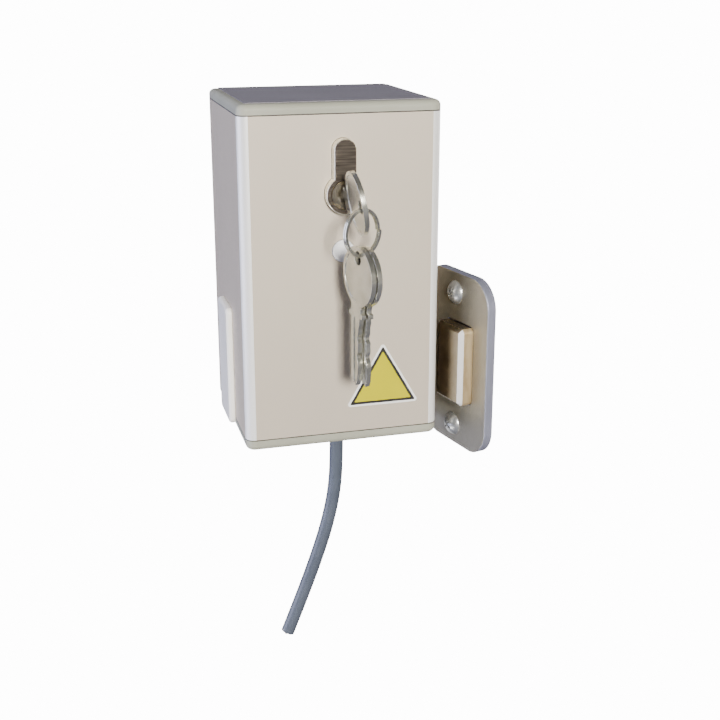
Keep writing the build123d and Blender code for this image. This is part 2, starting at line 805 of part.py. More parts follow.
def latch_bracket():
    """The bracket with two lugs, above and below the hook."""
    upper = latch_top + lug_gap
    lower = latch_bottom - lug_gap
    web_x = (pivot_x - lug_radius, pivot_x + lug_radius)
    top = upper + lug_sheet + lug_screw_rise
    bracket = slab(web_x, (plate_front - bracket_sheet, plate_front), (lower - lug_sheet, top))
    lug = Pos(pivot_x, (pivot_y + plate_front) / 2) * Rectangle(2 * lug_radius, plate_front - pivot_y)
    lug += Pos(pivot_x, pivot_y) * Circle(lug_radius)
    lug -= Pos(pivot_x, pivot_y) * Circle(pivot_radius + pivot_gap)
    for z in (upper, lower - lug_sheet):
        bracket += Pos(0, 0, z) * extrude(lug, lug_sheet)
    return drilled(bracket, bracket_screw_places()[2:3])


def pivot_pin():
    """The hook's pivot pin, with its head above the upper lug."""
    seat = latch_top + lug_gap + lug_sheet
    low = latch_bottom - lug_gap - lug_sheet - clip_ring_thickness - 1.2
    pin = upright(pivot_x, pivot_y, low, seat, pivot_radius)
    head = upright(pivot_x, pivot_y, seat, seat + pin_head_height, pin_head_radius)
    return pin + fillet(head.faces().sort_by(Axis.Z)[-1].edges(), 0.5)


def pivot_clip():
    """The retaining clip under the lower lug."""
    seat = latch_bottom - lug_gap - lug_sheet
    clip = upright(pivot_x, pivot_y, seat - clip_ring_thickness, seat, pin_head_radius + 0.6)
    clip -= upright(pivot_x, pivot_y, seat - clip_ring_thickness, seat, pivot_radius + pivot_gap)
    mouth = (pivot_x - 1.2, pivot_x + 1.2)
    return clip - slab(mouth, (pivot_y - 6, pivot_y), (seat - 2, seat + 1))


def release_bar():
    """The flat bar that the cam or the solenoid lifts, with its tab above and its wedge below."""
    tab_low = plug_height + cam_nose_width / 2 + tab_gap - release_travel
    right = barrel_radius + bar_clearance
    upper_z = (tab_low + tab_thickness + jog_top - jog_height) / 2
    upper = Rectangle(bar_width, tab_low + tab_thickness - jog_top + jog_height)
    jog_left = solenoid_x - 6
    jog = Rectangle(right + bar_width - jog_left, jog_height)
    lower = Rectangle(bar_width, jog_top - bar_bottom)
    outline = Pos(right + bar_width / 2, upper_z) * upper
    outline += Pos((right + bar_width + jog_left) / 2, jog_top - jog_height / 2) * jog
    outline += Pos(tail_end + bar_width / 2, (jog_top + bar_bottom) / 2) * lower
    bar = panel(outline, bar_front, bar_back)
    tab_y = (bar_back - tab_reach - bar_thickness, bar_back)
    bar += slab((right, right + bar_width - 1), tab_y, (tab_low, tab_low + tab_thickness))
    wedge_top = latch_bottom - wedge_drop
    toe = bar_front - (wedge_top - bar_bottom) * wedge_slope
    wedge = Polyline([(bar_front, wedge_top), (bar_front, bar_bottom), (toe, bar_bottom)], close=True)
    side = Plane(origin=(tail_end, 0, 0), x_dir=(0, 1, 0), z_dir=(1, 0, 0))
    bar += extrude(side * make_face(wedge), bar_width)
    hole_z = jog_top - jog_height / 2
    return bar - forward(solenoid_x, hole_z, bar_front - 1, bar_back + 1, link_pin_radius + link_gap)


def solenoid_frame():
    """The solenoid's folded frame, with ears for its screws and the fixed core at the top."""
    axis_y = (bar_front + bar_back) / 2
    x = (solenoid_x - solenoid_width / 2, solenoid_x + solenoid_width / 2)
    top = solenoid_bottom + solenoid_height
    front_edge = axis_y - coil_flange_radius - 0.6
    web_y = (plate_front - solenoid_sheet, plate_front)
    frame = slab(x, web_y, (solenoid_bottom - solenoid_ear, top + solenoid_ear))
    for low in (solenoid_bottom, top - solenoid_sheet):
        frame += slab(x, (front_edge, plate_front), (low, low + solenoid_sheet))
    bore = plunger_radius + plunger_gap
    frame -= upright(solenoid_x, axis_y, solenoid_bottom - 1, solenoid_bottom + 3, bore)
    core_low = top - solenoid_sheet - core_height
    frame += upright(solenoid_x, axis_y, core_low, top, plunger_radius - plunger_gap)
    return drilled(frame, bracket_screw_places()[3:])


def solenoid_coil():
    """The coil on its bobbin."""
    axis_y = (bar_front + bar_back) / 2
    low = solenoid_bottom + solenoid_sheet + coil_gap
    high = solenoid_bottom + solenoid_height - solenoid_sheet - coil_gap
    coil = upright(solenoid_x, axis_y, low, high, coil_radius)
    for z in (low, high - coil_flange_thickness):
        coil += upright(solenoid_x, axis_y, z, z + coil_flange_thickness, coil_flange_radius)
    return coil - upright(solenoid_x, axis_y, low - 1, high + 1, plunger_radius + plunger_gap)


def solenoid_plunger():
    """The plunger, with a clevis slot for the bar."""
    axis_y = (bar_front + bar_back) / 2
    plunger = upright(solenoid_x, axis_y, plunger_bottom, plunger_top, plunger_radius)
    half = bar_thickness / 2 + clevis_gap
    slot = (axis_y - half, axis_y + half)
    plunger -= slab((solenoid_x - 6, solenoid_x + 6), slot, (plunger_bottom - 1, jog_top + 1))
    hole_z = jog_top - jog_height / 2
    return plunger - forward(solenoid_x, hole_z, axis_y - 6, axis_y + 6, link_pin_radius + link_gap)


def link_pin():
    """The pin through the clevis and the bar."""
    axis_y = (bar_front + bar_back) / 2
    half = link_pin_length / 2
    return forward(solenoid_x, jog_top - jog_height / 2, axis_y - half, axis_y + half, link_pin_radius)


def terminal_places():
    """X places of the terminal block's poles."""
    first = terminal_left + terminal_width / terminal_poles / 2
    return [first + number * terminal_width / terminal_poles for number in range(terminal_poles)]


def terminal_block():
    """A stepped terminal block with a funnel above each wire entry."""
    back = plate_front
    front_y = back - terminal_depth
    low = terminal_bottom
    high = low + terminal_height
    step = terminal_step
    outline = [(back, low), (front_y + 3, low), (front_y + 3, low + step), (front_y, low + step)]
    outline += [(front_y, high - step), (front_y + 3, high - step), (front_y + 3, high), (back, high)]
    side = Plane(origin=(terminal_left, 0, 0), x_dir=(0, 1, 0), z_dir=(1, 0, 0))
    block = extrude(side * make_face(Polyline(outline, close=True)), terminal_width)
    middle = (low + high) / 2
    for x in terminal_places():
        block -= forward(x, middle, front_y - 1, front_y + 4, terminal_screw_radius + screw_gap)
    return block


def terminal_screws():
    """The clamping screws, one in each pole."""
    low = plate_front - terminal_depth + terminal_screw_sink
    middle = terminal_bottom + terminal_height / 2
    seat = plate_front - terminal_depth + 4
    return Compound([forward(x, middle, low, seat, terminal_screw_radius) for x in terminal_places()])


def cable_grommet():
    """The rubber grommet, a flange each side of the bottom cap."""
    low = -half_height - grommet_flange_thickness
    neck = upright(cable_x, cable_y, -half_height, cover_bottom, grommet_hole_radius - grommet_gap)
    lower = upright(cable_x, cable_y, low, -half_height, grommet_flange_radius)
    lower = fillet(lower.faces().sort_by(Axis.Z)[0].edges(), 0.6)
    upper_top = cover_bottom + grommet_flange_thickness
    return neck + lower + upright(cable_x, cable_y, cover_bottom, upper_top, grommet_flange_radius)


def tube(points, radii, radius):
    """A round tube along straight runs joined by tangent arcs."""
    path = FilletPolyline(*points, radius=radii)
    start = Plane(origin=path @ 0, z_dir=path % 0)
    return sweep(start * Circle(radius), path=path), path.length


def inner_cable():
    """The cable inside the case, from the grommet to the terminal block."""
    start_z = cover_bottom + grommet_flange_thickness
    end_x = terminal_left + terminal_width / 3
    end_y = plate_front - terminal_depth / 2
    points = [(cable_x, cable_y, start_z), (cable_x, cable_y, inner_run_z)]
    points += [(end_x, end_y, inner_run_z), (end_x, end_y, terminal_bottom)]
    return tube(points, [inner_bend, inner_bend], inner_cable_radius)[0]


def cable():
    """The free end of the cable below the case."""
    start_z = -half_height - grommet_flange_thickness
    bend_z = start_z - cable_straight
    points = [Vector(cable_x, cable_y, start_z), Vector(cable_x, cable_y, bend_z)]
    for drop, drift in cable_shares:
        x = cable_x - drift * cable_drift
        y = cable_y - drift * cable_backward
        points.append(Vector(x, y, bend_z - drop * cable_drop))
    print("cable route", [tuple(round(c, 2) for c in point) for point in points])
    radii = []
    for before, point, after in zip(points, points[1:], points[2:]):
        turn = radians((point - before).get_angle(after - point))
        shorter = min((point - before).length, (after - point).length)
        radii.append(0.45 * shorter / tan(turn / 2))
    solid, length = tube(points, radii, cable_radius)
    expected = length * pi * cable_radius ** 2
    print("cable radii", [round(r, 1) for r in radii], "length", round(length, 2))
    print("cable volume", round(solid.volume, 1), "section times length", round(expected, 1))
    return solid


nodes = {
    "case_cover": case_cover,
    "top_cap": top_cap,
    "bottom_cap": bottom_cap,
    "bottom_cap_screws": bottom_cap_screws,
    "cover_screws": cover_screws,
    "base_plate": base_plate,
    "spacers": spacers,
    "plate_screws": plate_screws,
    "mechanism_plate": mechanism_plate,
    "bracket_screws": bracket_screws,
    "cylinder_bracket": cylinder_bracket,
    "cylinder_body": cylinder_body,
    "cylinder_screw": cylinder_screw,
    "cylinder_plug": cylinder_plug,
    "cylinder_cam": cylinder_cam,
    "key_in_lock": key_in_lock,
    "key_ring": key_ring,
    "spare_key_front": lambda: spare_key(-1),
    "spare_key_rear": lambda: spare_key(1),
    "exit_button": exit_button,
    "button_housing": button_housing,
    "top_label": top_label,
    "warning_sign": warning_sign,
    "blanking_plate": blanking_plate,
    "keeper_plate": keeper_plate,
    "keeper_block": keeper_block,
    "keeper_screws": keeper_screws,
    "hook_latch": hook_latch,
    "latch_bracket": latch_bracket,
    "pivot_pin": pivot_pin,
    "pivot_clip": pivot_clip,
    "release_bar": release_bar,
    "solenoid_frame": solenoid_frame,
    "solenoid_coil": solenoid_coil,
    "solenoid_plunger": solenoid_plunger,
    "link_pin": link_pin,
    "terminal_block": terminal_block,
    "terminal_screws": terminal_screws,
    "cable_grommet": cable_grommet,
    "inner_cable": inner_cable,
    "cable": cable,
}

os.makedirs("parts", exist_ok=True)
for name, make in nodes.items():
    export_step(make(), f"parts/{name}.step")
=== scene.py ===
import json
import math
import bpy
from mathutils import Matrix, Vector


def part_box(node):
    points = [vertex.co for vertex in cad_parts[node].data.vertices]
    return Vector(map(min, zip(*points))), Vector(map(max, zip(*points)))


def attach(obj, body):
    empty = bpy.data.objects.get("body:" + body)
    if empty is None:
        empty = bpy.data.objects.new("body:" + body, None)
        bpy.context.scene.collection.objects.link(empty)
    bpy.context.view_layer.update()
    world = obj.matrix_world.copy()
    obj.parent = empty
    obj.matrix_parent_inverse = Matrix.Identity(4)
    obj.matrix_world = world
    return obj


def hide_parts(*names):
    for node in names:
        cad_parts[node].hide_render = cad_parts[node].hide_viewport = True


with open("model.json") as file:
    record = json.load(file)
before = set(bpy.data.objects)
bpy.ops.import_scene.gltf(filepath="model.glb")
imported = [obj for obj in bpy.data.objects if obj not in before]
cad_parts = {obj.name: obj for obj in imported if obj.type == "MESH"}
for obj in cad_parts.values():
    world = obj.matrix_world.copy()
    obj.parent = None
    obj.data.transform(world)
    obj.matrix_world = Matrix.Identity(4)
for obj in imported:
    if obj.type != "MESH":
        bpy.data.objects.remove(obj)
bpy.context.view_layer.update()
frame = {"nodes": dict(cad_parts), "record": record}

MM = 0.001

# The camera: place in metres, yaw to the right and pitch downwards in degrees, and the lens
CAMERA_PLACE = (-0.12515, -0.56758, 0.13079)
CAMERA_YAW = 15.31
CAMERA_PITCH = 16.82
CAMERA_LENS = 57.465
CAMERA_SHIFT = -0.05

# Vertices nearer than this are one, in a copy of a CAD node and in a new piece
CAD_MERGE = 0.000002
MERGE = 0.00001

# Height of the painted shadow lines at the seams at the ends of the cover
SEAM_HEIGHT = 0.0005

# The cover's front corners, which get a painted highlight: how far in they reach from its sides, the least
# that their faces lean to the side and forwards, and the limit of their lean up or down
CORNER_REACH = 0.0022
CORNER_LEAN = 0.06
CORNER_TILT = 0.1

# A face counts as facing along an axis when its normal's part along that axis is above this
FACING = 0.9

# The same limit for the keeper plate's faces, whose edges get a painted reflection, and those for its
# block's forward sides and their bevel, which get painted light and a painted highlight
PLATE_FACING = 0.8
PAINTED_SIDE_FORWARD = 0.3
BEVEL_OUTWARD = 0.25

# Triangles that meet at less than the first angle make one flat face, and edges below the second are smooth
FLAT_ANGLE = math.radians(1.0)
SMOOTH_ANGLE = math.radians(40)

# Widths of the rounded edges
EDGE = 0.0003
CAP_EDGE = 0.0005
BLANK_EDGE = 0.0006
LABEL_EDGE = 0.0001
PLUG_EDGE = 0.00025
BUTTON_EDGE = 0.0002
RING_EDGE = 0.0002
KEY_EDGE = 0.00022
SCREW_EDGE = 0.00015
SIGN_EDGE = 0.00005

# The studio: the white behind the object, its own two tones and their brightness, and the floor
BACKDROP = 14.0
STUDIO_DIM = (0.06, 0.06, 0.065, 1)
STUDIO_LAVENDER = (0.22, 0.225, 0.32, 1)
STUDIO_STRENGTH = 0.7
FLOOR_SIZE = 12
FLOOR_PLACE = (0, 1.0, -0.45)

# The cable's route from the grommet to its cut end, and its size
CABLE_ROUTE = [(7.6, -37.0, -80.5), (7.6, -37.0, -100.5), (6.59, -37.1, -122.99), (2.0, -37.56, -143.45),
               (-4.89, -38.25, -163.51), (-12.5, -39.01, -182.96), (-20.4, -39.8, -201.8)]
CABLE_DIAMETER = 0.007

# The cores in its cut end: number, the first one's turn in degrees, size, distance from its axis, depth of
# their middles, and copper tips
CORE_COUNT = 4
CORE_TURN = 45
CORE_RADIUS = 0.0011
CORE_LENGTH = 0.003
CORE_SPREAD = 0.0017
CORE_SINK = 0.0011
COPPER_INSET = 0.0005
COPPER_LENGTH = 0.0005

# The split ring: middle of its top wire, mean radius, turn about Z, wire section, the share of a turn's
# width that the wire fills, and steps in a turn
RING_TOP = (0.0, -0.114, 0.03805)
RING_RADIUS = 0.00975
RING_YAW = math.radians(30)
RING_WIRE_WIDTH = 0.0009
RING_WIRE_HEIGHT = 0.0015
RING_FILL = 0.94
RING_STEPS = 64

# The sticker: its side, white margin, dark line, and the height and corner radius of its two upper layers
SIGN_SIDE = 0.0352
SIGN_MARGIN = 0.0010
SIGN_LINE = 0.0012
LINE_HEIGHT = 0.00002
LINE_CORNER = 0.0008
FIELD_HEIGHT = 0.00004
FIELD_CORNER = 0.0006

# Height of the plug's middle, and its carved mouth: sides, inner and outer radius, depth and turn
PLUG_HEIGHT = 0.0393
MOUTH_SIDES = 9
MOUTH_INNER_RADIUS = 0.0022
MOUTH_OUTER_RADIUS = 0.0058
MOUTH_DEPTH = 0.0024
MOUTH_TURN = 0.3

# The key in the lock: its shoulder's place and its turn
KEY_SHOULDER = (0, -0.088, PLUG_HEIGHT)
KEY_TURN = math.radians(10)

# The keys' bows: size, distance of the middle from the shoulder, rim and recess, and half a key's thickness
BOW_SIZE = (0.013, 0.014)
BOW_MIDDLE = 0.018
BOW_RIM = 0.0017
BOW_RECESS = 0.0003
KEY_HALF = 0.0011

# The keeper's turn, and the cross slots in its screws: size and turns
KEEPER_TURN = math.radians(13)
SLOT_SIZE = (0.0022, 0.0052, 0.0009)
SLOT_TURNS = (35, 125)

# How the spare keys hang: their turn, side spread, drop below the wire, swing and the hole's place
SPARE_YAW = math.radians(10.6)
SPARE_SPREAD = 0.0013
SPARE_DROP = 0.001
REAR_KEY_SWING = math.radians(-4)
HOLE_DISTANCE = 0.026


def nothing_selected():
    """Leave edit mode with nothing selected."""
    if bpy.context.mode != "OBJECT":
        bpy.ops.object.mode_set(mode="OBJECT")
    bpy.ops.object.select_all(action="DESELECT")


def only(piece):
    """Select one piece and make it active."""
    nothing_selected()
    piece.select_set(True)
    bpy.context.view_layer.objects.active = piece


def settle(piece):
    """Move a piece's place into its mesh."""
    only(piece)
    bpy.ops.object.transform_apply(location=True, rotation=True, scale=True)


def apply_modifiers(piece):
    """Apply every modifier of a piece."""
    only(piece)
    for modifier in list(piece.modifiers):
        bpy.ops.object.modifier_apply(modifier=modifier.name)


def rounded(piece, width, segments=2, angle=30):
    """Bevel a piece's sharp edges and shade it smooth."""
    bevel = piece.modifiers.new("rounding", "BEVEL")
    bevel.width = width
    bevel.segments = segments
    bevel.limit_method = "ANGLE"
    bevel.angle_limit = math.radians(angle)
    apply_modifiers(piece)
    bpy.ops.object.shade_smooth_by_angle(angle=SMOOTH_ANGLE)
    evened = piece.modifiers.new("evened", "WEIGHTED_NORMAL")
    evened.keep_sharp = True
    apply_modifiers(piece)


def copied(node, name, flats=True):
    """A merged copy of a CAD node's mesh, which stands for it; flats joins each flat's triangles."""
    source = frame["nodes"][node]
    piece = source.copy()
    piece.data = source.data.copy()
    piece.name = name
    piece.data.name = name
    bpy.context.scene.collection.objects.link(piece)
    only(piece)
    bpy.ops.object.mode_set(mode="EDIT")
    bpy.ops.mesh.select_all(action="SELECT")
    bpy.ops.mesh.remove_doubles(threshold=CAD_MERGE)
    if flats:
        bpy.ops.mesh.dissolve_limited(angle_limit=FLAT_ANGLE)
    bpy.ops.object.mode_set(mode="OBJECT")
    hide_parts(node)
    return piece


def body_of(node):
    """The name of the body that a node belongs to."""
    bodies = frame["record"]["behaviour"]["bodies"]
    return next(body for body, nodes in bodies.items() if node in nodes)


def dress(piece, material):
    """Give a piece one material."""
    piece.data.materials.clear()
    piece.data.materials.append(material)


def softened(node, material, width, segments=2, levels=(), flats=True):
    """A CAD node's form with rounded edges, on its body, with its faces split at some levels."""
    piece = copied(node, node + "_finished", flats)
    for level in levels:
        only(piece)
        bpy.ops.object.mode_set(mode="EDIT")
        bpy.ops.mesh.select_all(action="SELECT")
        bpy.ops.mesh.bisect(plane_co=(0, 0, level), plane_no=(0, 0, 1))
        bpy.ops.object.mode_set(mode="OBJECT")
    rounded(piece, width, segments)
    dress(piece, material)
    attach(piece, body_of(node))
    return piece


def shade(red, green, blue):
    """A screen colour from 0 to 255, as the linear colour of a socket."""
    linear = [((c / 255 + 0.055) / 1.055) ** 2.4 for c in (red, green, blue)]
    return (*linear, 1.0)


def surface(name, low, high, patch, roughness, grain, metallic=0.0, stretch=(1, 1, 1), coat=0.0):
    """A procedural finish: two tones in soft patches, uneven gloss and a fine grain.

    Patch is the patches' scale, roughness the lowest and highest value, and grain the fine grain's scale,
    strength and depth.
    """
    material = bpy.data.materials.new(name)
    material.use_nodes = True
    nodes = material.node_tree.nodes
    links = material.node_tree.links
    shader = nodes["Principled BSDF"]
    shader.inputs["Metallic"].default_value = metallic
    shader.inputs["Coat Weight"].default_value = coat
    shader.inputs["Coat Roughness"].default_value = 0.15
    place = nodes.new("ShaderNodeTexCoord")
    mapping = nodes.new("ShaderNodeMapping")
    mapping.inputs["Scale"].default_value = stretch
    links.new(place.outputs["Object"], mapping.inputs["Vector"])
    patches = nodes.new("ShaderNodeTexNoise")
    patches.inputs["Scale"].default_value = patch
    patches.inputs["Detail"].default_value = 5
    links.new(mapping.outputs["Vector"], patches.inputs["Vector"])
    tones = nodes.new("ShaderNodeValToRGB")
    tones.color_ramp.elements[0].position = 0.35
    tones.color_ramp.elements[0].color = low
    tones.color_ramp.elements[1].position = 0.65
    tones.color_ramp.elements[1].color = high
    links.new(patches.outputs["Fac"], tones.inputs["Fac"])
    links.new(tones.outputs["Color"], shader.inputs["Base Color"])
    fine = nodes.new("ShaderNodeTexNoise")
    fine.inputs["Scale"].default_value = grain[0]
    fine.inputs["Detail"].default_value = 3
    links.new(mapping.outputs["Vector"], fine.inputs["Vector"])
    gloss = nodes.new("ShaderNodeMapRange")
    gloss.inputs["To Min"].default_value = roughness[0]
    gloss.inputs["To Max"].default_value = roughness[1]
    links.new(fine.outputs["Fac"], gloss.inputs["Value"])
    links.new(gloss.outputs["Result"], shader.inputs["Roughness"])
    bump = nodes.new("ShaderNodeBump")
    bump.inputs["Strength"].default_value = grain[1]
    bump.inputs["Distance"].default_value = grain[2]
    links.new(fine.outputs["Fac"], bump.inputs["Height"])
    links.new(bump.outputs["Normal"], shader.inputs["Normal"])
    return material


def mill_marks(material, middle):
    """Rings left by the cutter, as bands of higher and lower gloss round a middle."""
    nodes = material.node_tree.nodes
    links = material.node_tree.links
    place = nodes.new("ShaderNodeTexCoord")
    mapping = nodes.new("ShaderNodeMapping")
    mapping.inputs["Location"].default_value = tuple(-value for value in middle)
    links.new(place.outputs["Object"], mapping.inputs["Vector"])
    rings = nodes.new("ShaderNodeTexWave")
    rings.wave_type = "RINGS"
    rings.rings_direction = "SPHERICAL"
    rings.inputs["Scale"].default_value = 300
    rings.inputs["Distortion"].default_value = 1.5
    rings.inputs["Detail"].default_value = 3
    links.new(mapping.outputs["Vector"], rings.inputs["Vector"])
    links.new(rings.outputs["Fac"], nodes["Map Range"].inputs["Value"])


def make_materials():
    """The finishes of the lock's own pieces."""
    finishes = {}
    finishes["cover"] = surface("satin_champagne_aluminium", (0.56, 0.49, 0.39, 1), (0.60, 0.525, 0.42, 1),
                                9, (0.5, 0.58), (1400, 0.12, 0.00004), metallic=0.3, stretch=(1, 1, 0.12))
    # A lighter copy of the cover's finish on its rounded front corners: a painted highlight
    finishes["corner"] = surface("painted_highlight_corner", (0.90, 0.89, 0.86, 1), (0.94, 0.93, 0.90, 1), 9,
                                 (0.38, 0.46), (1400, 0.08, 0.00003), metallic=0.25, stretch=(1, 1, 0.12))
    # Dark bevels where the cover meets its caps: a painted shadow of the seams
    finishes["seam"] = surface("painted_seam_shadow", shade(52, 49, 42), shade(66, 62, 54), 60,
                               (0.6, 0.7), (900, 0.1, 0.00002))
    finishes["cap"] = surface("fine_moulded_cap", shade(158, 158, 141), shade(167, 167, 151), 30,
                              (0.52, 0.64), (2200, 0.25, 0.00005))
    finishes["blank"] = surface("smooth_moulded_plate", shade(244, 240, 230), shade(250, 246, 237), 24,
                                (0.35, 0.48), (1800, 0.15, 0.00003))
    finishes["label"] = surface("bare_dark_film", (0.25, 0.235, 0.255, 1), (0.27, 0.255, 0.275, 1), 25,
                                (0.38, 0.48), (900, 0.06, 0.00002))
    finishes["sign_white"] = surface("white_film", shade(242, 242, 236), shade(250, 250, 246), 30,
                                     (0.28, 0.36), (1200, 0.05, 0.00002))
    finishes["sign_dark"] = surface("dark_film_border", shade(34, 32, 28), shade(44, 42, 36), 30,
                                    (0.3, 0.4), (1200, 0.05, 0.00002))
    finishes["sign_yellow"] = surface("yellow_film", (0.51, 0.46, 0.0, 1), (0.55, 0.495, 0.0, 1), 30,
                                      (0.6, 0.7), (1200, 0.05, 0.00002))
    yellow = finishes["sign_yellow"].node_tree.nodes["Principled BSDF"]
    yellow.inputs["Specular IOR Level"].default_value = 0.1
    # The cylinder's nickel in two copies: painted shade on its front, a painted reflection on its side
    # walls
    finishes["nickel"] = surface("satin_nickel_painted_shade", shade(80, 73, 65), shade(106, 98, 88), 1300,
                                 (0.26, 0.4), (2600, 0.3, 0.00003), metallic=1.0, stretch=(0.05, 1, 1))
    finishes["nickel_edge"] = surface("painted_reflection_cylinder_edge", shade(222, 214, 190), shade(236, 230, 210),
                                      60, (0.2, 0.32), (2600, 0.2, 0.00002), metallic=0.7,
                                      stretch=(1, 1, 0.06))
    finishes["plug"] = surface("machined_plug", shade(138, 128, 108), shade(164, 154, 132), 90,
                               (0.16, 0.28), (3000, 0.2, 0.00002), metallic=1.0)
    finishes["key"] = surface("nickel_silver_key", shade(190, 188, 174), shade(214, 212, 198), 120,
                              (0.2, 0.3), (1600, 0.1, 0.00001), metallic=0.9)
    finishes["white"] = surface("white_button", shade(246, 246, 245), shade(252, 252, 251), 60,
                                (0.22, 0.3), (1500, 0.04, 0.00002), coat=0.3)
    finishes["black"] = surface("black_moulding", shade(28, 28, 29), shade(38, 38, 39), 60,
                                (0.45, 0.6), (1800, 0.2, 0.00004))
    finishes["zinc"] = surface("zinc_plated_steel", shade(168, 170, 172), shade(196, 197, 196), 70,
                               (0.3, 0.48), (900, 0.15, 0.00003), metallic=0.8)
    finishes["keeper"] = surface("satin_stainless", (0.37, 0.345, 0.27, 1), (0.44, 0.41, 0.33, 1), 40,
                                 (0.34, 0.46), (2600, 0.25, 0.00003), metallic=0.9, stretch=(1, 1, 0.05))
    # The keeper plate's edge faces get a bluish copy of its steel: a painted reflection
    finishes["keeper_edge"] = surface("painted_reflection_plate_edge", shade(146, 148, 164), shade(160, 162, 178), 200,
                                      (0.4, 0.55), (1500, 0.3, 0.00003), metallic=0.5, stretch=(1, 1, 0.2))
    finishes["block"] = surface("polished_block", shade(150, 138, 118), shade(172, 160, 138), 60,
                                (0.12, 0.24), (2200, 0.15, 0.00002), metallic=1.0)
    low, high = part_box("keeper_block")
    mill_marks(finishes["block"], (low + high) / 2)
    # Lighter copies of the block's steel for its bevel and forward wall: a painted highlight and painted
    # light
    finishes["block_bevel"] = surface("painted_highlight_block_bevel", (0.90, 0.88, 0.82, 1), (0.96, 0.94, 0.89, 1),
                                      300, (0.3, 0.42), (2200, 0.2, 0.00002), metallic=0.3,
                                      stretch=(1, 1, 0.3))
    finishes["block_wall"] = surface("painted_light_block_wall", shade(172, 150, 112), shade(196, 176, 138), 300,
                                     (0.3, 0.42), (2200, 0.2, 0.00002), metallic=0.4, stretch=(1, 1, 0.3))
    finishes["screw"] = surface("silver_screw", shade(188, 189, 186), shade(206, 207, 204), 200,
                                (0.24, 0.36), (1800, 0.2, 0.00002), metallic=0.85)
    finishes["coil"] = surface("taped_winding", shade(120, 66, 26), shade(148, 86, 38), 80,
                               (0.3, 0.5), (600, 0.4, 0.0001), stretch=(0.2, 0.2, 3))
    finishes["grey_block"] = surface("grey_moulding", shade(150, 152, 154), shade(164, 166, 168), 50,
                                     (0.45, 0.6), (1800, 0.2, 0.00004))
    finishes["rubber"] = surface("black_rubber", shade(26, 26, 27), shade(36, 36, 37), 80,
                                 (0.6, 0.75), (1600, 0.3, 0.00005))
    finishes["sheath"] = surface("grey_cable_sheath", shade(73, 79, 90), shade(83, 89, 100), 60,
                                 (0.26, 0.36), (1300, 0.2, 0.00004))
    finishes["core_a"] = surface("brown_core", shade(104, 66, 44), shade(120, 78, 54), 400,
                                 (0.35, 0.5), (2600, 0.15, 0.00001))
    finishes["core_b"] = surface("pale_core", shade(206, 206, 200), shade(222, 222, 216), 400,
                                 (0.35, 0.5), (2600, 0.15, 0.00001))
    finishes["copper"] = surface("bare_copper", shade(190, 110, 70), shade(214, 134, 90), 300,
                                 (0.2, 0.35), (3000, 0.2, 0.00001), metallic=1.0)
    return finishes


def make_camera():
    """The camera, at the photograph's place and angle."""
    data = bpy.data.cameras.new("camera")
    data.sensor_width = 36
    data.lens = CAMERA_LENS
    data.shift_y = CAMERA_SHIFT
    data.clip_start = 0.01
    camera = bpy.data.objects.new("camera", data)
    camera.location = CAMERA_PLACE
    camera.rotation_euler = (math.radians(90 - CAMERA_PITCH), 0, -math.radians(CAMERA_YAW))
    bpy.context.scene.collection.objects.link(camera)
    bpy.context.scene.camera = camera


def make_core_ends(finishes):
    """Cores with bare copper tips, which stand a little out of the cable's cut end."""
    end = Vector(CABLE_ROUTE[-1]) * MM
    along = (end - Vector(CABLE_ROUTE[-2]) * MM).normalized()
    ends = []
    for number in range(CORE_COUNT):
        nothing_selected()
        bpy.ops.mesh.primitive_cylinder_add(vertices=20, radius=CORE_RADIUS, depth=CORE_LENGTH)
        core = bpy.context.object
        core.name = "core_end_%d" % (number + 1)
        bpy.ops.object.mode_set(mode="EDIT")
        bpy.ops.mesh.select_all(action="DESELECT")
        bpy.ops.object.mode_set(mode="OBJECT")
        for face in core.data.polygons:
            face.select = face.normal.z > FACING
        bpy.ops.object.mode_set(mode="EDIT")
        bpy.ops.mesh.select_mode(type="FACE")
        bpy.ops.mesh.inset(thickness=COPPER_INSET)
        bpy.ops.mesh.extrude_region_move(TRANSFORM_OT_translate={"value": (0, 0, COPPER_LENGTH)})
        bpy.ops.object.mode_set(mode="OBJECT")
        dress(core, finishes["core_a"] if number % 2 else finishes["core_b"])
        core.data.materials.append(finishes["copper"])
        for face in core.data.polygons:
            if face.center.z > CORE_LENGTH / 2 + MERGE:
                face.material_index = 1
        turn = math.radians(CORE_TURN + 360 / CORE_COUNT * number)
        place = (CORE_SPREAD * math.cos(turn), CORE_SPREAD * math.sin(turn), -CORE_SINK)
        core.data.transform(Matrix.Translation(place))
        core.data.transform(Matrix.Translation(end) @ along.to_track_quat("Z", "Y").to_matrix().to_4x4())
        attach(core, "case")
        ends.append(core)
    return ends


def make_cable(finishes):
    """The free cable, with the ends of its cores showing in its cut end."""
    data = bpy.data.curves.new("cable_sheath", "CURVE")
    data.dimensions = "3D"
    data.bevel_depth = CABLE_DIAMETER / 2
    data.bevel_resolution = 8
    data.use_fill_caps = True
    data.resolution_u = 16
    spline = data.splines.new("NURBS")
    spline.points.add(len(CABLE_ROUTE) - 1)
    for point, place in zip(spline.points, CABLE_ROUTE):
        point.co = (*[value * MM for value in place], 1)
    spline.order_u = 3
    spline.use_endpoint_u = True
    sheath = bpy.data.objects.new("cable_sheath", data)
    bpy.context.scene.collection.objects.link(sheath)
    data.materials.append(finishes["sheath"])
    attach(sheath, "case")
    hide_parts("cable")
    make_core_ends(finishes)


